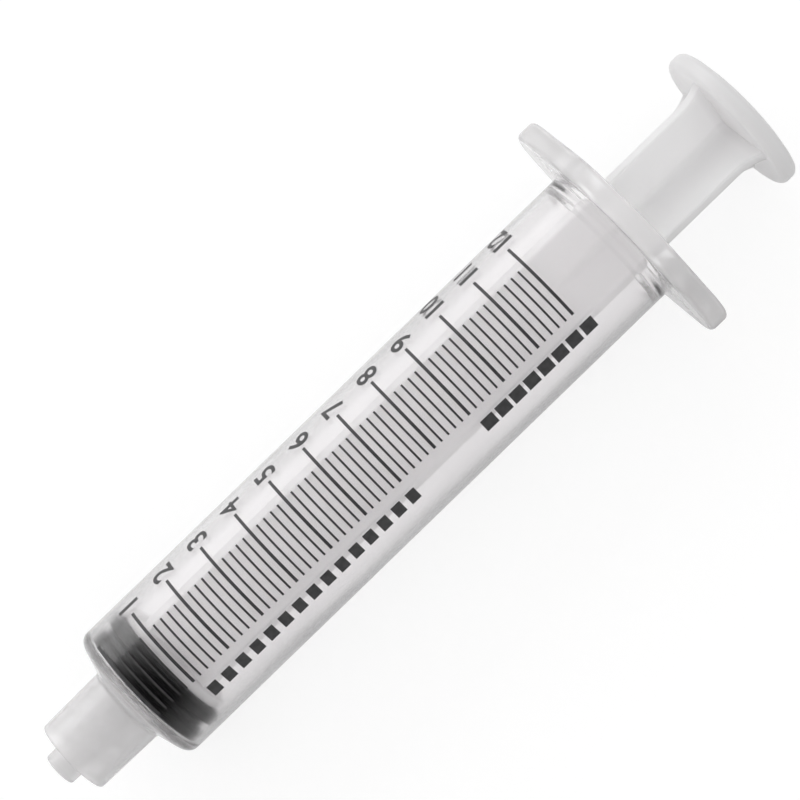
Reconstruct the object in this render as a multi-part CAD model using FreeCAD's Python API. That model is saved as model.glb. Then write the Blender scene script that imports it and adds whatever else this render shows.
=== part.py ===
import FreeCAD, Part
import math
import os

# A disposable syringe with a luer lock nozzle, lying on its side with the plunger pushed home.
# It is three pieces, as moulded: a clear barrel with the finger flange and the lock nozzle on it,
# a rubber stopper that slides in the bore, and a plunger rod whose head snaps into the stopper.
#
# Every piece is drawn around the syringe's own axis, which is the X axis here. Along it, 0 is the
# front end of the barrel's straight wall, the nozzle is on the minus side and the thumb rest on the
# plus side. The last step moves them all so that the flange's lower edge lies on Z = 0 and the
# origin is under the middle of the whole syringe.
#
# All sizes are in millimetres and degrees. A round is a radius.

# Barrel tube
bore_radius = 7.9
barrel_wall = 0.8
barrel_length = 75.0
shoulder_slope = 18.0
shoulder_thickness = 1.17
shoulder_edge_round = 1.2
bore_front_round = 0.5
bore_mouth_round = 0.35

# Bead inside the barrel's mouth, which keeps the stopper from being pulled out
bead_height = 0.4
bead_length = 1.6
bead_round = 0.8
bead_to_barrel_end = 4.0

# Finger flange: an oval plate with a flat above and below and a wing to each side. The rim is how
# far the flats stand out from the tube.
flange_width = 30.8
flange_rim = 1.3
flange_thickness = 2.6
flange_flat_length = 10.0
flange_flat_round = 8.0
wing_tip_height = 4.4
wing_tip_round = 4.2
flange_edge_round = 0.65
flange_root_round = 0.6

# Nozzle: the cone widens by 6 in 100 on its diameter
nozzle_tip_radius = 1.98
nozzle_taper = 0.03
nozzle_reach_past_collar = 2.1
nozzle_edge_round = 0.25
nozzle_root_round = 0.3
fluid_bore_tip_radius = 1.05
fluid_bore_root_radius = 1.2

# Lock collar around the nozzle, which widens by the draft from its mouth to its foot
collar_length = 8.45
collar_wall = 0.6
collar_draft = 0.15
collar_root_round = 0.6
collar_rim_round = 0.2
collar_floor_to_foot = 0.3
collar_floor_round = 0.2

# Two-start thread inside the collar
thread_root_radius = 4.0
thread_depth = 0.5
thread_starts = 2
thread_lead = 5.0
thread_root_width = 1.0
thread_crest_width = 0.4
thread_mouth_inset = 0.5
thread_floor_inset = 0.7
thread_seat_depth = 0.15

# Stopper
seal_clearance = 0.03
stopper_nose_clearance = 0.15
stopper_nose_flat_radius = 1.6
stopper_body_length = 4.3
seal_rib_height = 0.65
seal_rib_crest = 1.0
seal_rib_side = 0.4
seal_rib_round = 0.25
stopper_lip_thickness = 1.1

# Snap head on the rod's front end, and the stopper's clearance all around it
snap_clearance = 0.1
rod_neck_radius = 2.4
rod_head_radius = 4.0
rod_head_front_radius = 2.9
rod_head_length = 1.9
rod_head_round = 0.3

# Plunger rod: a plate behind the stopper and four ribs in a cross, which flare out at the thumb
# rest. The plate and the ribs keep their distance from the bore's wall, and so pass its bead.
rod_plate_to_bore = 0.8
rod_plate_thickness = 1.2
rod_plate_round = 0.3
rod_rib_to_bore = 1.4
rod_rib_thickness = 1.2
rod_rib_round = 0.25
rod_core_radius = 1.25
rod_flare = 1.1
rod_flare_length = 3.2
rod_flare_round = 4.0
rod_reach_past_barrel = 14.4
rod_turn = 60.0

# Thumb rest with raised grip rings
thumb_reach_past_ribs = 2.65
thumb_thickness = 2.2
thumb_edge_round = 0.8
grip_ring_count = 3
grip_ring_inset = 2.0
grip_ring_pitch = 1.8
grip_ring_height = 0.25
grip_ring_foot = 0.8
grip_ring_crest = 0.5

# What follows from the sizes above
barrel_radius = bore_radius + barrel_wall
shoulder_rise = math.tan(math.radians(shoulder_slope))
flange_front_x = barrel_length - flange_thickness
flange_root_radius = barrel_radius + flange_root_round
flange_half_height = barrel_radius + flange_rim
thread_crest_radius = thread_root_radius - thread_depth
collar_mouth_radius = thread_root_radius + collar_wall
collar_foot_radius = collar_mouth_radius + collar_draft
collar_foot_x = -(barrel_radius - collar_foot_radius) * shoulder_rise
collar_mouth_x = collar_foot_x - collar_length
collar_floor_x = collar_foot_x - collar_floor_to_foot
nozzle_tip_x = collar_mouth_x - nozzle_reach_past_collar
nozzle_foot_radius = nozzle_tip_radius + nozzle_taper * (collar_floor_x - nozzle_tip_x)
seal_radius = bore_radius - seal_clearance
stopper_waist_radius = seal_radius - seal_rib_height
rod_plate_radius = bore_radius - rod_plate_to_bore
rod_rib_radius = bore_radius - rod_rib_to_bore
rod_flare_radius = rod_rib_radius + rod_flare
thumb_radius = rod_rib_radius + thumb_reach_past_ribs


def shoulder_inside_x(radius):
    """Where the cone inside the barrel's front end lies, at a distance from the axis."""
    return shoulder_thickness - (barrel_radius - radius) * shoulder_rise


def stopper_nose_x(radius):
    """Where the stopper's nose lies, which follows the barrel's inner cone."""
    return shoulder_inside_x(radius) + stopper_nose_clearance


stopper_front_x = stopper_nose_x(stopper_waist_radius)
stopper_rear_x = stopper_front_x + stopper_body_length
socket_rear_x = stopper_rear_x - stopper_lip_thickness
head_rear_x = socket_rear_x - snap_clearance
head_front_x = head_rear_x - rod_head_length
rod_plate_x = stopper_rear_x + snap_clearance
thumb_front_x = barrel_length + rod_reach_past_barrel
thumb_rear_x = thumb_front_x + thumb_thickness
thumb_crest_x = thumb_rear_x + grip_ring_height


def rounded_outline(corners):
    """Closed wire in the XY plane through corners of (x, y, round)."""
    points = [FreeCAD.Vector(x, y, 0) for x, y, radius in corners]
    starts, arcs, ends = [], [], []
    for here, (x, y, radius) in enumerate(corners):
        point = points[here]
        if radius == 0:
            starts.append(point)
            arcs.append(None)
            ends.append(point)
            continue
        back = points[here - 1] - point
        ahead = points[(here + 1) % len(points)] - point
        half_angle = back.getAngle(ahead) / 2
        back.normalize()
        ahead.normalize()
        inward = (back + ahead).normalize()
        reach = radius / math.tan(half_angle)
        depth = radius / math.sin(half_angle) - radius
        starts.append(point + back * reach)
        ends.append(point + ahead * reach)
        arcs.append(Part.Arc(starts[-1], point + inward * depth, ends[-1]).toShape())
    path = []
    for here, arc in enumerate(arcs):
        if arc is not None:
            path.append(arc)
        following = starts[(here + 1) % len(starts)]
        if ends[here].distanceToPoint(following) > 1e-6:
            path.append(Part.LineSegment(ends[here], following).toShape())
    return Part.Wire(path)


def turned(corners):
    """Solid turned about the X axis from corners of (x, distance from the axis, round)."""
    section = Part.Face(rounded_outline(corners))
    return section.revolve(FreeCAD.Vector(0, 0, 0), FreeCAD.Vector(1, 0, 0), 360)


def round_bar(x, length, radius):
    """Plain cylinder on the X axis."""
    return Part.makeCylinder(radius, length, FreeCAD.Vector(x, 0, 0), FreeCAD.Vector(1, 0, 0))


def stand_along_x(shape):
    """Turns what was drawn along Z to lie along X, with its own X to Y and Y to Z."""
    return shape.rotate(FreeCAD.Vector(0, 0, 0), FreeCAD.Vector(1, 1, 1), 120)


def one_solid(pieces):
    """The pieces fused, with the seams between faces that continue each other removed."""
    fused = pieces[0].fuse(pieces[1:]).removeSplitter()
    return fused.Solids[0] if len(fused.Solids) == 1 else fused


def barrel_tube():
    """The tube with its shoulder, nozzle, lock collar and bead, turned from one section."""
    bead_x = barrel_length - bead_to_barrel_end
    return turned([
        (nozzle_tip_x, fluid_bore_tip_radius, 0),
        (nozzle_tip_x, nozzle_tip_radius, nozzle_edge_round),
        (collar_floor_x, nozzle_foot_radius, nozzle_root_round),
        (collar_floor_x, thread_root_radius, collar_floor_round),
        (collar_mouth_x, thread_root_radius, collar_rim_round),
        (collar_mouth_x, collar_mouth_radius, collar_rim_round),
        (collar_foot_x, collar_foot_radius, collar_root_round),
        (0, barrel_radius, shoulder_edge_round),
        (flange_front_x, barrel_radius, flange_root_round),
        (flange_front_x, flange_root_radius, 0),
        (barrel_length, flange_root_radius, 0),
        (barrel_length, bore_radius, bore_mouth_round),
        (bead_x + bead_length / 2, bore_radius, 0),
        (bead_x, bore_radius - bead_height, bead_round),
        (bead_x - bead_length / 2, bore_radius, 0),
        (shoulder_inside_x(bore_radius), bore_radius, bore_front_round),
        (shoulder_inside_x(fluid_bore_root_radius), fluid_bore_root_radius, 0),
    ])


def finger_flange():
    """The oval plate, pierced for the tube, with its outer edges rounded."""
    half_width = flange_width / 2
    half_flat = flange_flat_length / 2
    half_tip = wing_tip_height / 2
    outline = rounded_outline([
        (half_flat, flange_half_height, flange_flat_round),
        (-half_flat, flange_half_height, flange_flat_round),
        (-half_width, half_tip, wing_tip_round),
        (-half_width, -half_tip, wing_tip_round),
        (-half_flat, -flange_half_height, flange_flat_round),
        (half_flat, -flange_half_height, flange_flat_round),
        (half_width, -half_tip, wing_tip_round),
        (half_width, half_tip, wing_tip_round),
    ])
    plate = Part.Face(outline).extrude(FreeCAD.Vector(0, 0, flange_thickness))
    rims = [edge for edge in plate.Edges if edge.BoundBox.ZLength < 1e-6]
    plate = stand_along_x(plate.makeFillet(flange_edge_round, rims))
    plate.translate(FreeCAD.Vector(flange_front_x, 0, 0))
    hole = round_bar(flange_front_x - 1, flange_thickness + 2, bore_radius + barrel_wall / 2)
    return plate.cut(hole)


def lock_thread():
    """The thread's ridges, one for each start, seated a little way into the collar's wall."""
    first_x = collar_mouth_x + thread_mouth_inset + thread_root_width / 2
    last_x = collar_floor_x - thread_floor_inset - thread_root_width / 2
    slope = (thread_root_width - thread_crest_width) / 2 / (thread_root_radius - thread_crest_radius)
    seat_radius = thread_root_radius + thread_seat_depth
    half_seat = thread_root_width / 2 + slope * thread_seat_depth
    half_crest = thread_crest_width / 2
    corners = [
        FreeCAD.Vector(seat_radius, 0, -half_seat),
        FreeCAD.Vector(thread_crest_radius, 0, -half_crest),
        FreeCAD.Vector(thread_crest_radius, 0, half_crest),
        FreeCAD.Vector(seat_radius, 0, half_seat),
    ]
    ridges = []
    for start in range(thread_starts):
        spine = Part.Wire(Part.makeHelix(thread_lead, last_x - first_x, thread_crest_radius).Edges)
        section = Part.makePolygon(corners + corners[:1])
        ridge = stand_along_x(spine.makePipeShell([section], True, True))
        ridge.rotate(FreeCAD.Vector(0, 0, 0), FreeCAD.Vector(1, 0, 0), 360 * start / thread_starts)
        ridge.translate(FreeCAD.Vector(first_x, 0, 0))
        ridges.append(ridge)
    return ridges


def barrel():
    """The whole barrel, which is one moulding."""
    return one_solid([barrel_tube(), finger_flange()] + lock_thread())


def stopper():
    """The rubber stopper: a coned nose, two sealing ribs and a socket for the rod's head."""
    rear_rib_x = stopper_rear_x - 2 * seal_rib_side - seal_rib_crest
    front_rib_end_x = stopper_front_x + 2 * seal_rib_side + seal_rib_crest
    neck_radius = rod_neck_radius + snap_clearance
    head_slope = (rod_head_radius - rod_head_front_radius) / rod_head_length
    side_clearance = snap_clearance * math.hypot(1, head_slope)
    socket_front_x = head_front_x - snap_clearance
    socket_front_radius = rod_head_front_radius + side_clearance - head_slope * snap_clearance
    socket_rear_radius = rod_head_radius + side_clearance + head_slope * snap_clearance
    nose_flat_x = stopper_nose_x(stopper_nose_flat_radius)
    return turned([
        (nose_flat_x, 0, 0),
        (nose_flat_x, stopper_nose_flat_radius, 0),
        (stopper_front_x, stopper_waist_radius, 0),
        (stopper_front_x + seal_rib_side, seal_radius, seal_rib_round),
        (stopper_front_x + seal_rib_side + seal_rib_crest, seal_radius, seal_rib_round),
        (front_rib_end_x, stopper_waist_radius, seal_rib_round),
        (rear_rib_x, stopper_waist_radius, seal_rib_round),
        (rear_rib_x + seal_rib_side, seal_radius, seal_rib_round),
        (rear_rib_x + seal_rib_side + seal_rib_crest, seal_radius, seal_rib_round),
        (stopper_rear_x, stopper_waist_radius, 0),
        (stopper_rear_x, neck_radius, 0),
        (socket_rear_x, neck_radius, 0),
        (socket_rear_x, socket_rear_radius, 0),
        (socket_front_x, socket_front_radius, 0),
        (socket_front_x, 0, 0),
    ])


def rod_front():
    """The snap head, its neck and the plate that pushes the stopper."""
    return turned([
        (head_front_x, 0, 0),
        (head_front_x, rod_head_front_radius, rod_head_round),
        (head_rear_x, rod_head_radius, rod_head_round),
        (head_rear_x, rod_neck_radius, 0),
        (rod_plate_x, rod_neck_radius, 0),
        (rod_plate_x, rod_plate_radius, rod_plate_round),
        (rod_plate_x + rod_plate_thickness, rod_plate_radius, rod_plate_round),
        (rod_plate_x + rod_plate_thickness, 0, 0),
    ])


def rod_rib_pair(turn):
    """Two opposite ribs as one flat bar, which flares out to the thumb rest."""
    front_x = rod_plate_x + rod_plate_thickness / 2
    rear_x = thumb_front_x + thumb_thickness / 2
    flare_x = thumb_front_x - rod_flare_length
    outline = rounded_outline([
        (front_x, -rod_rib_radius, 0),
        (flare_x, -rod_rib_radius, rod_flare_round),
        (thumb_front_x, -rod_flare_radius, 0),
        (rear_x, -rod_flare_radius, 0),
        (rear_x, rod_flare_radius, 0),
        (thumb_front_x, rod_flare_radius, 0),
        (flare_x, rod_rib_radius, rod_flare_round),
        (front_x, rod_rib_radius, 0),
    ])
    bar = Part.Face(outline).extrude(FreeCAD.Vector(0, 0, rod_rib_thickness))
    bar.translate(FreeCAD.Vector(0, 0, -rod_rib_thickness / 2))
    sides = []
    for edge in bar.Edges:
        box = edge.BoundBox
        if box.ZLength < 1e-6 and box.XLength > 1e-6 and box.XMax < rear_x - 1e-6:
            sides.append(edge)
    bar = bar.makeFillet(rod_rib_round, sides)
    return bar.rotate(FreeCAD.Vector(0, 0, 0), FreeCAD.Vector(1, 0, 0), turn)


def thumb_rest():
    """The round pad at the rod's end, with its raised grip rings."""
    corners = [
        (thumb_front_x, 0, 0),
        (thumb_front_x, thumb_radius, thumb_edge_round),
        (thumb_rear_x, thumb_radius, thumb_edge_round),
    ]
    for ring in range(grip_ring_count):
        ring_radius = thumb_radius - grip_ring_inset - ring * grip_ring_pitch
        corners.append((thumb_rear_x, ring_radius + grip_ring_foot / 2, 0))
        corners.append((thumb_crest_x, ring_radius + grip_ring_crest / 2, 0))
        corners.append((thumb_crest_x, ring_radius - grip_ring_crest / 2, 0))
        corners.append((thumb_rear_x, ring_radius - grip_ring_foot / 2, 0))
    corners.append((thumb_rear_x, 0, 0))
    return turned(corners)


def plunger_rod():
    """The whole rod, which is one moulding."""
    core_x = rod_plate_x + rod_plate_thickness / 2
    core = round_bar(core_x, thumb_front_x + thumb_thickness / 2 - core_x, rod_core_radius)
    return one_solid([
        rod_front(),
        core,
        rod_rib_pair(rod_turn),
        rod_rib_pair(rod_turn + 90),
        thumb_rest(),
    ])


def lying_on_the_table(shape):
    """Moves a finished piece from the syringe's axis to its place over the origin."""
    middle_x = (nozzle_tip_x + thumb_crest_x) / 2
    return shape.translate(FreeCAD.Vector(-middle_x, 0, flange_half_height))


os.makedirs("parts", exist_ok=True)
for name, piece in (("barrel", barrel()), ("stopper", stopper()), ("plunger_rod", plunger_rod())):
    lying_on_the_table(piece).exportStep("parts/" + name + ".step")
    box = piece.BoundBox
    print(name, piece.isValid(), len(piece.Solids), round(piece.Volume, 2), "mm3",
          [round(v, 3) for v in (box.XMin, box.YMin, box.ZMin, box.XMax, box.YMax, box.ZMax)])
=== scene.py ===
import math

import bmesh
import bpy
import numpy as np
from mathutils import Matrix, Vector


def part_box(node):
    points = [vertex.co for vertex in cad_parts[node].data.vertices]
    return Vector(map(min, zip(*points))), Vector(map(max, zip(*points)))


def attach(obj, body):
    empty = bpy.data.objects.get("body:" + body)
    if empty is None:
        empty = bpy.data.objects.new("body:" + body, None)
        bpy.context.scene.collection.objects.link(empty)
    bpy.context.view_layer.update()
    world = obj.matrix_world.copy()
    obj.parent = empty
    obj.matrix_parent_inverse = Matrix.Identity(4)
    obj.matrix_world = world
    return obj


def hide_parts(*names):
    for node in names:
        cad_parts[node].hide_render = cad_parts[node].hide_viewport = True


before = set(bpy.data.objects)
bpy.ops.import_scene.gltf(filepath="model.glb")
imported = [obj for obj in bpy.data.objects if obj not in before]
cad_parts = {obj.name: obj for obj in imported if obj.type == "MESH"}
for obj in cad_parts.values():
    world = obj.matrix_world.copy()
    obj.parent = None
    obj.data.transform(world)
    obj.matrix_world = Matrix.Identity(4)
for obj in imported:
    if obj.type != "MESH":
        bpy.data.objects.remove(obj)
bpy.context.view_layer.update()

# Barrel
# One clear polypropylene moulding: the tube with its shoulder, the luer cone, the threaded lock
# collar around the cone, and the finger flange. Its mesh is one closed section taken round the axis.
barrel_low, barrel_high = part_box("barrel")
axis_height = (barrel_low.z + barrel_high.z) / 2
nozzle_end = barrel_low.x
barrel_end = barrel_high.x
bore_radius = 0.0079
barrel_radius = 0.0087
shoulder_slope = math.tan(math.radians(18))
shoulder_thickness = 0.00117
shoulder_edge_round = 0.0012
bore_front_round = 0.0005
bore_mouth_round = 0.00035
nozzle_reach = 0.0021
nozzle_tip_radius = 0.00198
nozzle_foot_radius = 0.0022875
fluid_tip_radius = 0.00105
fluid_root_radius = 0.0012
nozzle_mouth_round = 0.0001
nozzle_edge_round = 0.00025
nozzle_root_round = 0.0003
fluid_root_round = 0.0002
collar_length = 0.00845
collar_floor_to_foot = 0.0003
collar_mouth_radius = 0.0046
collar_foot_radius = 0.00475
collar_floor_round = 0.0002
collar_rim_round = 0.0002
collar_root_round = 0.0006
thread_root_radius = 0.0040
thread_depth = 0.0005
thread_lead = 0.0050
thread_starts = 2
thread_root_width = 0.0010
thread_crest_width = 0.0004
thread_mouth_inset = 0.0005
thread_floor_inset = 0.0007
flange_thickness = 0.0026
flange_half_width = barrel_high.y
flange_half_height = (barrel_high.z - barrel_low.z) / 2
flange_half_flat = 0.0050
flange_flat_round = 0.0080
flange_half_tip = 0.0022
flange_tip_round = 0.0042
flange_edge_round = 0.00065
flange_root_round = 0.0006
bead_to_end = 0.0040
bead_length = 0.0016
bead_height = 0.0004
bead_round = 0.0008
bead_foot_round = 0.0004

mouth_x = nozzle_end + nozzle_reach
collar_foot_x = mouth_x + collar_length
collar_floor_x = collar_foot_x - collar_floor_to_foot
tube_front_x = collar_foot_x + (barrel_radius - collar_foot_radius) * shoulder_slope
flange_front_x = barrel_end - flange_thickness
flange_root_radius = barrel_radius + flange_root_round
bead_x = barrel_end - bead_to_end


def rounded_line(corners, arc_step, run_step, closed):
    """Points along a line through corners of (u, v, round).

    A corner gives way to the arc of that radius that touches both of its sides. The arc starts
    round / tan(half angle) from the corner, and its centre is round / sin(half angle) from it.
    The run that follows each corner is cut to its own step.
    """
    corners = np.array(corners, float)
    spots, rounds = corners[:, :2], corners[:, 2]
    back = np.roll(spots, 1, axis=0) - spots
    ahead = np.roll(spots, -1, axis=0) - spots
    back /= np.linalg.norm(back, axis=1, keepdims=True)
    ahead /= np.linalg.norm(ahead, axis=1, keepdims=True)
    inward = back + ahead
    half_angles = np.arccos(np.clip((back * ahead).sum(axis=1), -1, 1)) / 2
    stretches = []
    for spot, radius, b, a, n, half in zip(spots, rounds, back, ahead, inward, half_angles):
        if radius == 0:
            stretches.append(spot[None])
            continue
        centre = spot + n / np.linalg.norm(n) * radius / math.sin(half)
        first = spot + b * radius / math.tan(half) - centre
        last = spot + a * radius / math.tan(half) - centre
        turn = math.pi - 2 * half
        share = np.linspace(0, 1, max(3, math.ceil(radius * turn / arc_step) + 1))[:, None]
        arc = np.sin((1 - share) * turn) * first + np.sin(share * turn) * last
        stretches.append(centre + arc / math.sin(turn))
    steps = np.broadcast_to(run_step, len(spots))
    line = []
    for k, stretch in enumerate(stretches):
        line.append(stretch)
        if k + 1 == len(stretches) and not closed:
            break
        start, end = stretch[-1], stretches[(k + 1) % len(stretches)][0]
        pieces = math.ceil(np.linalg.norm(end - start) / steps[k])
        line.append(start + (end - start) * np.arange(1, pieces)[:, None] / max(pieces, 1))
    return np.concatenate(line)


def reach_to_outline(corners, bearings):
    """Distance from the axis to a closed outline of rounded corners, at each bearing."""
    outline = rounded_line(corners, arc_step=0.00002, run_step=0.00005, closed=True)
    outline_bearing = np.arctan2(outline[:, 1], outline[:, 0])
    order = np.argsort(outline_bearing)
    reach = np.hypot(outline[:, 0], outline[:, 1])
    return np.interp(bearings, outline_bearing[order], reach[order], period=2 * math.pi)


def turned(x, radius, bearings):
    """Grid of points around the axis: y = radius cos(bearing), z = radius sin(bearing)."""
    grid = np.empty((len(x), len(bearings), 3))
    grid[..., 0] = x[:, None]
    grid[..., 1] = radius * np.cos(bearings)
    grid[..., 2] = radius * np.sin(bearings) + axis_height
    return grid


def skin(name, grids, looped):
    """One mesh over grids whose rows close round. The last row meets the first, or both are capped."""
    points, faces, count = [], [], 0
    for grid in grids:
        rows, around = grid.shape[:2]
        index = np.arange(rows * around).reshape(rows, around) + count
        here, beyond = (index, np.roll(index, -1, axis=0)) if looped else (index[:-1], index[1:])
        quads = [here, np.roll(here, -1, axis=1), np.roll(beyond, -1, axis=1), beyond]
        faces += np.stack(quads, axis=-1).reshape(-1, 4).tolist()
        if not looped:
            faces += [index[0][::-1].tolist(), index[-1].tolist()]
        points.append(grid.reshape(-1, 3))
        count += rows * around
    mesh = bpy.data.meshes.new(name)
    mesh.from_pydata(np.concatenate(points).tolist(), [], faces)
    shape = bmesh.new()
    shape.from_mesh(mesh)
    bmesh.ops.recalc_face_normals(shape, faces=shape.faces)
    shape.to_mesh(mesh)
    shape.free()
    mesh.shade_smooth()
    mesh.set_sharp_from_angle(angle=math.radians(40))
    piece = bpy.data.objects.new(name, mesh)
    bpy.context.scene.collection.objects.link(piece)
    even = piece.modifiers.new("even_shading", "WEIGHTED_NORMAL")
    even.keep_sharp = True
    return piece


def flange_outline():
    """Corners of the flange: flats above and below, and a wing with a rounded tip to each side."""
    corners = []
    for side in (1, -1):
        corners += [
            (side * flange_half_width, -side * flange_half_tip, flange_tip_round),
            (side * flange_half_width, side * flange_half_tip, flange_tip_round),
            (side * flange_half_flat, side * flange_half_height, flange_flat_round),
            (-side * flange_half_flat, side * flange_half_height, flange_flat_round),
        ]
    return corners


def thread_ridge(x, bearings):
    """How far the thread stands in from the collar's wall.

    The ridge repeats along x every lead / starts, and moves on by the lead in one turn. It is a
    trapezium across, and sinks into the wall at both ends of its run.
    """
    pitch = thread_lead / thread_starts
    start = mouth_x + thread_mouth_inset
    end = collar_floor_x - thread_floor_inset
    along = x[:, None] - start - thread_root_width / 2 - thread_lead * bearings / (2 * math.pi)
    off_crest = np.abs(along - np.round(along / pitch) * pitch)
    flank = (thread_root_width - thread_crest_width) / 2
    ridge = np.clip((thread_root_width / 2 - off_crest) / flank, 0, 1)
    fade = np.clip(np.minimum(x - start, end - x) / (thread_root_width / 2), 0, 1)
    return thread_depth * ridge * fade[:, None]


def inside_cone_x(radius):
    """Where the cone inside the barrel's front end lies, at a distance from the axis."""
    return tube_front_x + shoulder_thickness - (barrel_radius - radius) * shoulder_slope


section_corners = [
    (nozzle_end, fluid_tip_radius, nozzle_mouth_round),
    (nozzle_end, nozzle_tip_radius, nozzle_edge_round),
    (collar_floor_x, nozzle_foot_radius, nozzle_root_round),
    (collar_floor_x, thread_root_radius, collar_floor_round),
    (mouth_x, thread_root_radius, collar_rim_round),
    (mouth_x, collar_mouth_radius, collar_rim_round),
    (collar_foot_x, collar_foot_radius, collar_root_round),
    (tube_front_x, barrel_radius, shoulder_edge_round),
    (flange_front_x, barrel_radius, flange_root_round),
    (flange_front_x, flange_half_height, flange_edge_round),
    (barrel_end, flange_half_height, flange_edge_round),
    (barrel_end, bore_radius, bore_mouth_round),
    (bead_x + bead_length / 2, bore_radius, bead_foot_round),
    (bead_x, bore_radius - bead_height, bead_round),
    (bead_x - bead_length / 2, bore_radius, bead_foot_round),
    (inside_cone_x(bore_radius), bore_radius, bore_front_round),
    (inside_cone_x(fluid_root_radius), fluid_root_radius, fluid_root_round),
]
thread_wall_corner = (collar_floor_x, thread_root_radius, collar_floor_round)
thread_step = 0.0001
wall_step = 0.004
run_steps = [thread_step if corner == thread_wall_corner else wall_step for corner in section_corners]
section = rounded_line(section_corners, arc_step=0.00007, run_step=run_steps, closed=True)
section_x, section_radius = section[:, 0], section[:, 1:]
bearing_count = 256
bearings = np.linspace(0, 2 * math.pi, bearing_count, endpoint=False)
flat_span = flange_half_height - flange_edge_round - flange_root_radius
flange_share = np.clip((section_radius - flange_root_radius) / flat_span, 0, 1)
wing_reach = reach_to_outline(flange_outline(), bearings) - flange_half_height
on_thread_wall = np.isclose(section_radius, thread_root_radius, rtol=0, atol=1e-7)
wall_radius = (
    section_radius
    + flange_share * wing_reach
    - on_thread_wall * thread_ridge(section_x, bearings)
)
barrel = skin("clear_barrel", [turned(section_x, wall_radius, bearings)], looped=True)


def new_material(name):
    """A node material, with its node tree and its principled shader."""
    material = bpy.data.materials.new(name)
    material.use_nodes = True
    return material, material.node_tree, material.node_tree.nodes["Principled BSDF"]


def noise(tree, scale, detail, stretch=(1, 1, 1)):
    """Noise on the piece's own coordinates, with a size of about 1 / scale metres."""
    place = tree.nodes.new("ShaderNodeTexCoord")
    stretched = tree.nodes.new("ShaderNodeMapping")
    stretched.inputs["Scale"].default_value = stretch
    texture = tree.nodes.new("ShaderNodeTexNoise")
    texture.inputs["Scale"].default_value = scale
    texture.inputs["Detail"].default_value = detail
    tree.links.new(place.outputs["Object"], stretched.inputs["Vector"])
    tree.links.new(stretched.outputs["Vector"], texture.inputs["Vector"])
    return texture.outputs["Fac"]


def spread(tree, source, low, high):
    """Takes noise, which lies mostly between 0.3 and 0.7, to the range from low to high."""
    node = tree.nodes.new("ShaderNodeMapRange")
    node.inputs["From Min"].default_value = 0.3
    node.inputs["From Max"].default_value = 0.7
    node.inputs["To Min"].default_value = low
    node.inputs["To Max"].default_value = high
    tree.links.new(source, node.inputs["Value"])
    return node.outputs["Result"]


def bump(tree, source, height, shader):
    """Raises the surface by up to height metres."""
    node = tree.nodes.new("ShaderNodeBump")
    node.inputs["Distance"].default_value = height
    tree.links.new(source, node.inputs["Height"])
    tree.links.new(node.outputs["Normal"], shader.inputs["Normal"])


def thinness(tree):
    """One in the tube's thin wall and nought in the thick parts, with a short change between.

    The thick parts lie in front of the tube and around it, going by x and by the distance from the
    axis.
    """
    place = tree.nodes.new("ShaderNodeTexCoord")
    along = tree.nodes.new("ShaderNodeSeparateXYZ")
    across = tree.nodes.new("ShaderNodeMapping")
    across.inputs["Location"].default_value = (0, 0, -axis_height)
    across.inputs["Scale"].default_value = (0, 1, 1)
    distance = tree.nodes.new("ShaderNodeVectorMath")
    distance.operation = "LENGTH"
    behind_front = tree.nodes.new("ShaderNodeMapRange")
    behind_front.inputs["From Min"].default_value = tube_front_x - 0.0002
    behind_front.inputs["From Max"].default_value = tube_front_x + 0.0006
    within_tube = tree.nodes.new("ShaderNodeMapRange")
    within_tube.inputs["From Min"].default_value = flange_root_radius + 0.0004
    within_tube.inputs["From Max"].default_value = barrel_radius + 0.0001
    least = tree.nodes.new("ShaderNodeMath")
    least.operation = "MINIMUM"
    tree.links.new(place.outputs["Object"], along.inputs["Vector"])
    tree.links.new(along.outputs["X"], behind_front.inputs["Value"])
    tree.links.new(place.outputs["Object"], across.inputs["Vector"])
    tree.links.new(across.outputs["Vector"], distance.inputs[0])
    tree.links.new(distance.outputs["Value"], within_tube.inputs["Value"])
    tree.links.new(behind_front.outputs["Result"], least.inputs[0])
    tree.links.new(within_tube.outputs["Result"], least.inputs[1])
    return least.outputs[0]


def clear_polypropylene():
    """Clear plastic, milky where it is thick, with the slow waviness of a moulded wall."""
    material, tree, plastic = new_material("clear_polypropylene")
    thin = thinness(tree)
    tint = tree.nodes.new("ShaderNodeMix")
    tint.data_type = "RGBA"
    tint.inputs["A"].default_value = (0.995, 0.985, 0.990, 1)
    tint.inputs["B"].default_value = (0.935, 0.925, 0.930, 1)
    clearness = tree.nodes.new("ShaderNodeMapRange")
    clearness.inputs["To Min"].default_value = 0.55
    tree.links.new(thin, tint.inputs["Factor"])
    tree.links.new(tint.outputs["Result"], plastic.inputs["Base Color"])
    tree.links.new(thin, clearness.inputs["Value"])
    tree.links.new(clearness.outputs["Result"], plastic.inputs["Transmission Weight"])
    plastic.inputs["IOR"].default_value = 1.49
    streaks = noise(tree, 260, 3, stretch=(0.25, 1, 1))
    tree.links.new(spread(tree, streaks, 0.12, 0.22), plastic.inputs["Roughness"])
    bump(tree, noise(tree, 90, 1, stretch=(0.3, 1, 1)), 0.000015, plastic)
    return material


barrel.data.materials.append(clear_polypropylene())
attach(barrel, "barrel")
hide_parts("barrel")

# Stopper
# One black rubber moulding, oiled with silicone: a coned nose, two sealing ribs with a groove
# between them, and a socket behind, which the rod's head snaps into.
stopper_low, stopper_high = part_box("stopper")
seal_radius = stopper_high.y
seal_rib_height = 0.00065
seal_rib_crest = 0.0010
seal_rib_side = 0.0004
seal_rib_round = 0.00025
stopper_corner_round = 0.0001
stopper_body = 0.0043
nose_flat_radius = 0.0016
lip_thickness = 0.0011
neck_hole_radius = 0.0025
socket_rear_radius = 0.00417
socket_front_radius = 0.00296
socket_depth = 0.0021

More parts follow.
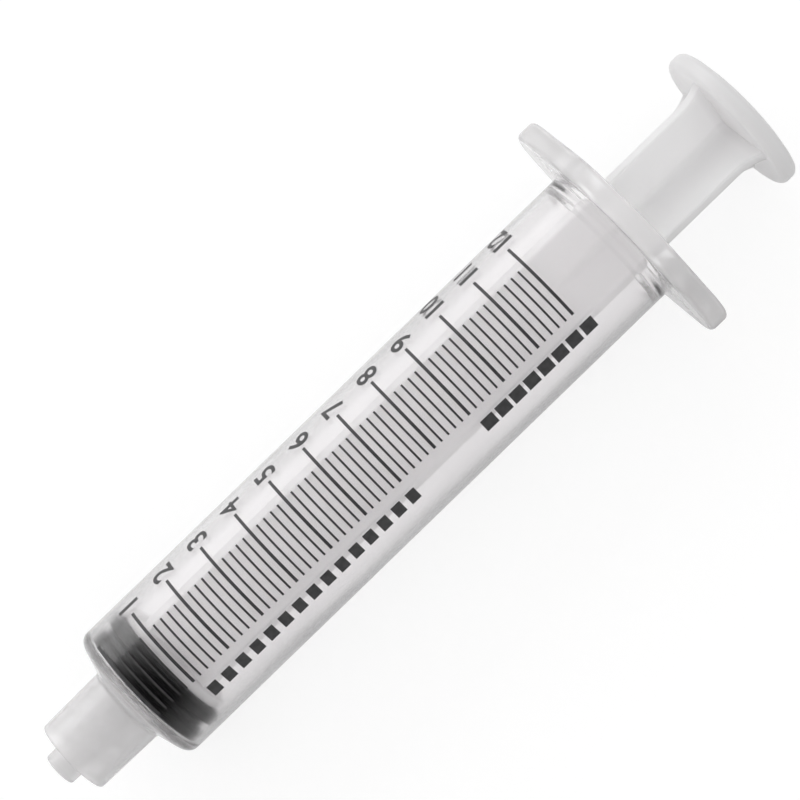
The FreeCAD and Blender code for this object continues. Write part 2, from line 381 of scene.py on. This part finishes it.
waist_radius = seal_radius - seal_rib_height
stopper_rear_x = stopper_high.x
body_front_x = stopper_rear_x - stopper_body
socket_rear_x = stopper_rear_x - lip_thickness
front_rib_x = body_front_x + seal_rib_side
rear_rib_x = stopper_rear_x - seal_rib_side - seal_rib_crest
stopper_line = rounded_line([
    (stopper_low.x, nose_flat_radius, 0),
    (body_front_x, waist_radius, stopper_corner_round),
    (front_rib_x, seal_radius, seal_rib_round),
    (front_rib_x + seal_rib_crest, seal_radius, seal_rib_round),
    (front_rib_x + seal_rib_crest + seal_rib_side, waist_radius, seal_rib_round),
    (rear_rib_x - seal_rib_side, waist_radius, seal_rib_round),
    (rear_rib_x, seal_radius, seal_rib_round),
    (rear_rib_x + seal_rib_crest, seal_radius, seal_rib_round),
    (stopper_rear_x, waist_radius, stopper_corner_round),
    (stopper_rear_x, neck_hole_radius, stopper_corner_round),
    (socket_rear_x, neck_hole_radius, stopper_corner_round),
    (socket_rear_x, socket_rear_radius, stopper_corner_round),
    (socket_rear_x - socket_depth, socket_front_radius, 0),
], arc_step=0.00005, run_step=0.001, closed=False)
stopper_grid = turned(stopper_line[:, 0], stopper_line[:, 1:], bearings)
stopper = skin("rubber_stopper", [stopper_grid], looped=False)


def black_rubber():
    """Soft black rubber with a fine moulded grain and an uneven film of oil."""
    material, tree, rubber = new_material("black_rubber")
    rubber.inputs["Base Color"].default_value = (0.004, 0.004, 0.0045, 1)
    rubber.inputs["Specular IOR Level"].default_value = 0.4
    tree.links.new(spread(tree, noise(tree, 900, 3), 0.32, 0.5), rubber.inputs["Roughness"])
    bump(tree, noise(tree, 5000, 2), 0.00001, rubber)
    return material


stopper.data.materials.append(black_rubber())
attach(stopper, "stopper")
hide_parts("stopper")

# Plunger rod
# One milky polypropylene moulding: the snap head and its plate, four ribs in a cross that flare
# out at the rear, and the round thumb rest with its grip rings.
rod_low, rod_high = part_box("plunger_rod")
head_length = 0.0019
head_radius = 0.0040
head_front_radius = 0.0029
head_round = 0.0003
neck_radius = 0.0024
neck_round = 0.0001
plate_clearance = 0.0001
plate_thickness = 0.0012
plate_radius = 0.0071
plate_round = 0.0003
rib_radius = 0.0065
half_rib = 0.0006
rib_round = 0.00025
rib_root_round = 0.00095
flare_length = 0.0032
flare_radius = 0.0076
rod_turn = math.radians(60)
thumb_radius = rod_high.y
thumb_thickness = 0.0022
thumb_edge_round = 0.0008
grip_ring_height = 0.00025
grip_ring_foot = 0.0008
grip_ring_crest = 0.0005
grip_ring_round = 0.0001
grip_ring_radii = (0.00715, 0.00535, 0.00355)

head_rear_x = rod_low.x + head_length
plate_x = stopper_rear_x + plate_clearance
thumb_rear_x = rod_high.x - grip_ring_height
thumb_front_x = thumb_rear_x - thumb_thickness
pole_radius = 0.0005
beyond_ribs = 0.0002
# Bearings to one side of a rib's middle, in degrees: close together at its edge, then wider apart
beside_rib = np.radians(np.concatenate([np.arange(2.4, 6.2, 0.3), np.arange(8, 45, 2.5)]))
about_rib = np.concatenate([-beside_rib[::-1], [0], beside_rib, [math.pi / 4]])
rod_bearings = np.concatenate([about_rib + rod_turn + k * math.pi / 2 for k in range(4)])


def rib_rows(x, radius):
    """The cross of ribs at each x, where it reaches out to a radius of its own."""
    rows = []
    for reach in radius:
        corners = []
        for k in range(4):
            turn = rod_turn + k * math.pi / 2
            along, across = (math.cos(turn), math.sin(turn)), (-math.sin(turn), math.cos(turn))
            for a, b, r in ((reach, -half_rib, rib_round), (reach, half_rib, rib_round),
                            (half_rib, half_rib, rib_root_round)):
                corners.append((a * along[0] + b * across[0], a * along[1] + b * across[1], r))
        rows.append(reach_to_outline(corners, rod_bearings))
    return turned(x, np.array(rows), rod_bearings)


head_line = rounded_line([
    (rod_low.x, pole_radius, 0),
    (rod_low.x, head_front_radius, head_round),
    (head_rear_x, head_radius, head_round),
    (head_rear_x, neck_radius, neck_round),
    (plate_x, neck_radius, neck_round),
    (plate_x, plate_radius, plate_round),
    (plate_x + plate_thickness, plate_radius, plate_round),
    (plate_x + plate_thickness, rib_radius + beyond_ribs, 0),
], arc_step=0.00008, run_step=wall_step, closed=False)
flare_share = np.linspace(0, 1, 9)
rib_x = np.concatenate([[plate_x + plate_thickness], thumb_front_x - flare_length * (1 - flare_share)])
rib_reach = np.concatenate([[rib_radius], rib_radius + (flare_radius - rib_radius) * flare_share ** 2])
thumb_corners = [
    (thumb_front_x, thumb_radius, thumb_edge_round),
    (thumb_rear_x, thumb_radius, thumb_edge_round),
]
for ring_radius in grip_ring_radii:
    thumb_corners += [
        (thumb_rear_x, ring_radius + grip_ring_foot / 2, grip_ring_round),
        (rod_high.x, ring_radius + grip_ring_crest / 2, grip_ring_round),
        (rod_high.x, ring_radius - grip_ring_crest / 2, grip_ring_round),
        (thumb_rear_x, ring_radius - grip_ring_foot / 2, grip_ring_round),
    ]
thumb_line = rounded_line(
    [(thumb_front_x, flare_radius + beyond_ribs, 0)] + thumb_corners + [(thumb_rear_x, pole_radius, 0)],
    arc_step=0.00008, run_step=wall_step, closed=False)
rod_grid = np.concatenate([
    turned(head_line[:, 0], head_line[:, 1:], rod_bearings),
    rib_rows(rib_x, rib_reach),
    turned(thumb_line[:, 0], thumb_line[:, 1:], rod_bearings),
])
rod = skin("ribbed_plunger_rod", [rod_grid], looped=False)


def milky_polypropylene():
    """Natural polypropylene: milky and satin, with painted shade that colours the thumb rest darker than
    the ribs.
    """
    material, tree, plastic = new_material("milky_polypropylene")
    place = tree.nodes.new("ShaderNodeTexCoord")
    along = tree.nodes.new("ShaderNodeSeparateXYZ")
    painted_shade_on_thumb_rest = tree.nodes.new("ShaderNodeMapRange")
    painted_shade_on_thumb_rest.inputs["From Min"].default_value = thumb_front_x - 0.0012
    painted_shade_on_thumb_rest.inputs["From Max"].default_value = thumb_front_x + 0.0004
    # Painted shade: the thumb rest gets the darker colour B, and the ribs, head and plate get the paler
    # A.
    tint = tree.nodes.new("ShaderNodeMix")
    tint.data_type = "RGBA"
    tint.inputs["A"].default_value = (0.950, 0.935, 0.940, 1)
    tint.inputs["B"].default_value = (0.765, 0.755, 0.760, 1)
    tree.links.new(place.outputs["Object"], along.inputs["Vector"])
    tree.links.new(along.outputs["X"], painted_shade_on_thumb_rest.inputs["Value"])
    tree.links.new(painted_shade_on_thumb_rest.outputs["Result"], tint.inputs["Factor"])
    tree.links.new(tint.outputs["Result"], plastic.inputs["Base Color"])
    plastic.inputs["IOR"].default_value = 1.49
    plastic.inputs["Subsurface Weight"].default_value = 0.8
    plastic.inputs["Subsurface Radius"].default_value = (1.0, 1.0, 1.0)
    plastic.inputs["Subsurface Scale"].default_value = 0.007
    tree.links.new(spread(tree, noise(tree, 700, 3), 0.3, 0.42), plastic.inputs["Roughness"])
    bump(tree, noise(tree, 300, 2, stretch=(0.3, 1, 1)), 0.00003, plastic)
    return material


rod.data.materials.append(milky_polypropylene())
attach(rod, "plunger")
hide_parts("plunger_rod")

# Printed scale
# Ink printed on the barrel: a short line for each 0.2 mL, a long one with its number for each
# millilitre, and two groups of plain dashes below them, lighter and heavier.
front_to_zero_line = 0.0014
zero_line_x = tube_front_x + front_to_zero_line
millilitre = 1e-6 / (math.pi * bore_radius ** 2)
full_scale = 12
ink_thickness = 0.00002
ink_lift = 0.00001
ink_radius = barrel_radius + ink_lift
ink_step = math.radians(2)
short_lines = (math.radians(-36), math.radians(14))
long_lines = (math.radians(-36), math.radians(35))
short_line_width = 0.00024
long_line_width = 0.00036
number_start = math.radians(38)
number_height = 0.0027
digit_to_text_size = 0.73
number_widening = 1.15
number_boldness = 0.00007
number_strip = 0.0002
widest_number = 0.006
dash_row = (math.radians(-57), math.radians(-46))
dash_step = 0.0021
dash_groups = ((1, 7, 0.0013), (9, 12, 0.0017))


def ink_patch(middle_x, width, span):
    """Grid of a thin closed patch on the barrel, a rectangle of x and radius taken along a span."""
    rows = np.linspace(span[0], span[1], math.ceil((span[1] - span[0]) / ink_step) + 1)
    x = middle_x + np.array([-1, 1, 1, -1]) * width / 2
    radius = ink_radius + np.array([0, 0, ink_thickness, ink_thickness])
    grid = np.empty((len(rows), 4, 3))
    grid[..., 0] = x
    grid[..., 1] = radius * np.sin(rows)[:, None]
    grid[..., 2] = radius * np.cos(rows)[:, None] + axis_height
    return grid


def embolden(shape, width):
    """Moves the outline of flat faces out by a width.

    Each corner moves by the sum of its two edges' outward normals, over one plus their dot
    product. That divisor is kept from getting small, so that a sharp corner stays short.
    """
    outward = {}
    for edge in shape.edges:
        if edge.is_boundary:
            loop = edge.link_loops[0]
            along = (loop.link_loop_next.vert.co - loop.vert.co).normalized()
            for vert in edge.verts:
                outward.setdefault(vert, []).append(along.cross(loop.face.normal))
    for vert, (one, other) in outward.items():
        vert.co += (one + other) * width / max(1 + one.dot(other), 0.5)


def scale_numbers():
    """The numbers as flat text, cut into narrow strips and bent round the barrel."""
    shape = bmesh.new()
    for number in range(1, full_scale + 1):
        curve = bpy.data.curves.new("number", "FONT")
        curve.body = str(number)
        curve.size = number_height / digit_to_text_size
        text = bpy.data.objects.new("number", curve)
        bpy.context.scene.collection.objects.link(text)
        flat = bpy.data.meshes.new_from_object(text)
        bpy.data.objects.remove(text)
        shift = (0, -number_height / 2 - number * millilitre, 0)
        known = len(shape.verts)
        shape.from_mesh(flat)
        shape.verts.ensure_lookup_table()
        bmesh.ops.translate(shape, verts=shape.verts[known:], vec=shift)
        bpy.data.meshes.remove(flat)
    shape.normal_update()
    embolden(shape, number_boldness)
    for cut in np.arange(number_strip, widest_number, number_strip):
        whole = shape.verts[:] + shape.edges[:] + shape.faces[:]
        bmesh.ops.bisect_plane(shape, geom=whole, plane_co=(cut, 0, 0), plane_no=(1, 0, 0))
    mesh = bpy.data.meshes.new("scale_numbers")
    shape.to_mesh(mesh)
    shape.free()
    spots = np.empty((len(mesh.vertices), 3))
    mesh.vertices.foreach_get("co", spots.ravel())
    bearing = number_start + number_widening * spots[:, 0] / ink_radius
    bent = np.stack([
        zero_line_x - spots[:, 1],
        ink_radius * np.sin(bearing),
        ink_radius * np.cos(bearing) + axis_height,
    ], axis=1)
    mesh.vertices.foreach_set("co", bent.ravel())
    piece = bpy.data.objects.new("scale_numbers", mesh)
    bpy.context.scene.collection.objects.link(piece)
    thick = piece.modifiers.new("ink_thickness", "SOLIDIFY")
    thick.thickness = ink_thickness
    thick.offset = 1
    return piece


def printing_ink():
    """Dark grey ink with an uneven edge to its tone."""
    material, tree, ink = new_material("printing_ink")
    tone = tree.nodes.new("ShaderNodeValToRGB")
    tone.color_ramp.elements[0].color = (0.02, 0.02, 0.022, 1)
    tone.color_ramp.elements[1].color = (0.09, 0.088, 0.09, 1)
    tree.links.new(noise(tree, 1500, 3), tone.inputs["Fac"])
    tree.links.new(tone.outputs["Color"], ink.inputs["Base Color"])
    ink.inputs["Roughness"].default_value = 0.45
    return material


line_patches = []
for fifth in range(full_scale * 5 + 1):
    line_x = zero_line_x + fifth * millilitre / 5
    if fifth % 5 == 0:
        line_patches.append(ink_patch(line_x, long_line_width, long_lines))
    else:
        line_patches.append(ink_patch(line_x, short_line_width, short_lines))
dash_patches = []
for first, last, length in dash_groups:
    for dash_x in np.arange(zero_line_x + first * millilitre, zero_line_x + last * millilitre, dash_step):
        dash_patches.append(ink_patch(dash_x + dash_step / 2, length, dash_row))
dark_ink = printing_ink()
for piece in (skin("scale_lines", line_patches, looped=False),
              skin("plain_dashes", dash_patches, looped=False),
              scale_numbers()):
    piece.data.materials.append(dark_ink)
    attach(piece, "barrel")

# Table, light and camera
# A white table top in an evenly lit room, with one soft lamp behind the syringe, and the camera
# above.
half_table = 3
table_corners = [(x * half_table, y * half_table, 0) for x, y in ((-1, -1), (1, -1), (1, 1), (-1, 1))]
mesh = bpy.data.meshes.new("table_top")
mesh.from_pydata(table_corners, [], [(0, 1, 2, 3)])
table = bpy.data.objects.new("table_top", mesh)
bpy.context.scene.collection.objects.link(table)


def looked_at(tree):
    """One where the camera, a reflection or clear plastic looks at the surface, and else nought."""
    path = tree.nodes.new("ShaderNodeLightPath")
    seen = path.outputs["Is Camera Ray"]
    for name in ("Is Glossy Ray", "Is Transmission Ray"):
        either = tree.nodes.new("ShaderNodeMath")
        either.operation = "MAXIMUM"
        tree.links.new(seen, either.inputs[0])
        tree.links.new(path.outputs[name], either.inputs[1])
        seen = either.outputs[0]
    return seen


def white_table():
    """White paint that looks fully white, and throws light back up, with the soft shadow kept.

    In reflections it is greyer on the camera's side of the syringe.
    """
    whiteness = 0.52
    material, tree, paint = new_material("white_table")
    paint.inputs["Base Color"].default_value = (0.3, 0.3, 0.3, 1)
    paint.inputs["Roughness"].default_value = 0.9
    paint.inputs["Specular IOR Level"].default_value = 0
    paint.inputs["Emission Color"].default_value = (1, 1, 1, 1)
    place = tree.nodes.new("ShaderNodeTexCoord")
    across = tree.nodes.new("ShaderNodeSeparateXYZ")
    mirrored = tree.nodes.new("ShaderNodeMapRange")
    mirrored.inputs["From Min"].default_value = -0.02
    mirrored.inputs["From Max"].default_value = 0
    mirrored.inputs["To Max"].default_value = whiteness
    path = tree.nodes.new("ShaderNodeLightPath")
    seen = tree.nodes.new("ShaderNodeMix")
    seen.inputs["A"].default_value = whiteness
    glow = tree.nodes.new("ShaderNodeMath")
    glow.operation = "MULTIPLY_ADD"
    glow.inputs[2].default_value = 0.25
    tree.links.new(place.outputs["Object"], across.inputs["Vector"])
    tree.links.new(across.outputs["Y"], mirrored.inputs["Value"])
    tree.links.new(path.outputs["Glossy Depth"], seen.inputs["Factor"])
    tree.links.new(mirrored.outputs["Result"], seen.inputs["B"])
    tree.links.new(looked_at(tree), glow.inputs[0])
    tree.links.new(seen.outputs["Result"], glow.inputs[1])
    tree.links.new(glow.outputs[0], paint.inputs["Emission Strength"])
    return material


def white_room():
    """Even light from all round, which looks white.

    Reflections of it are dark in a dome that leans towards the camera's side. Where it lights
    something through clear plastic, it is stronger by about what the plastic takes away.
    """
    room = bpy.data.worlds.new("white_room")
    room.use_nodes = True
    tree = room.node_tree
    light = tree.nodes["Background"]
    light.inputs["Color"].default_value = (1, 1, 1, 1)
    light.inputs["Strength"].default_value = 0.74
    walls = tree.nodes.new("ShaderNodeBackground")
    walls.inputs["Color"].default_value = (1, 1, 1, 1)
    direction = tree.nodes.new("ShaderNodeTexCoord")
    height_in_dome = tree.nodes.new("ShaderNodeVectorMath")
    height_in_dome.operation = "DOT_PRODUCT"
    height_in_dome.inputs[1].default_value = (0, -0.5, 0.866)
    mirrored = tree.nodes.new("ShaderNodeMapRange")
    mirrored.inputs["From Min"].default_value = 0
    mirrored.inputs["From Max"].default_value = 0.9
    mirrored.inputs["To Min"].default_value = 1
    mirrored.inputs["To Max"].default_value = 0
    path = tree.nodes.new("ShaderNodeLightPath")
    reflected = tree.nodes.new("ShaderNodeMix")
    reflected.inputs["A"].default_value = 1
    strength = tree.nodes.new("ShaderNodeMix")
    strength.inputs["B"].default_value = 1.6
    chosen = tree.nodes.new("ShaderNodeMixShader")
    tree.links.new(direction.outputs["Generated"], height_in_dome.inputs[0])
    tree.links.new(height_in_dome.outputs["Value"], mirrored.inputs["Value"])
    tree.links.new(path.outputs["Glossy Depth"], reflected.inputs["Factor"])
    tree.links.new(mirrored.outputs["Result"], reflected.inputs["B"])
    tree.links.new(path.outputs["Diffuse Depth"], strength.inputs["Factor"])
    tree.links.new(reflected.outputs["Result"], strength.inputs["A"])
    tree.links.new(strength.outputs["Result"], walls.inputs["Strength"])
    tree.links.new(looked_at(tree), chosen.inputs["Fac"])
    tree.links.new(light.outputs["Background"], chosen.inputs[1])
    tree.links.new(walls.outputs["Background"], chosen.inputs[2])
    tree.links.new(chosen.outputs["Shader"], tree.nodes["World Output"].inputs["Surface"])
    return room


table.data.materials.append(white_table())
bpy.context.scene.world = white_room()

lamp_spot = Vector((0, 0.60, 0.32))
lamp = bpy.data.lights.new("key_light", "AREA")
lamp.shape = "RECTANGLE"
lamp.size = 0.80
lamp.size_y = 0.45
lamp.energy = 1.3
key_light = bpy.data.objects.new("key_light", lamp)
key_light.location = lamp_spot
key_light.rotation_euler = (Vector((0, 0, axis_height)) - lamp_spot).to_track_quat("-Z", "Y").to_euler()
bpy.context.scene.collection.objects.link(key_light)

# The camera looks down on the printed side, 15 degrees from straight above, with the nozzle to the
# lower left. A millimetre at the syringe's axis is 9.15 of the picture's 800 pixels.
camera_distance = 0.30
camera_shift = (0.00305, 0.00315)
camera_lean = Matrix.Rotation(math.radians(15), 3, "X")
camera_turn = Matrix.Rotation(math.radians(-44.1), 3, "Z")
pixels_per_metre = 9150
picture_width = 800
lens = bpy.data.cameras.new("camera")
lens.sensor_width = 36
lens.lens = lens.sensor_width * pixels_per_metre * camera_distance / picture_width
camera = bpy.data.objects.new("camera", lens)
camera.location = Vector((0, 0, axis_height)) + camera_lean @ Vector((*camera_shift, camera_distance))
camera.rotation_euler = (camera_lean @ camera_turn).to_euler()
bpy.context.scene.collection.objects.link(camera)
bpy.context.scene.camera = camera

bpy.context.scene.view_settings.view_transform = "Standard"
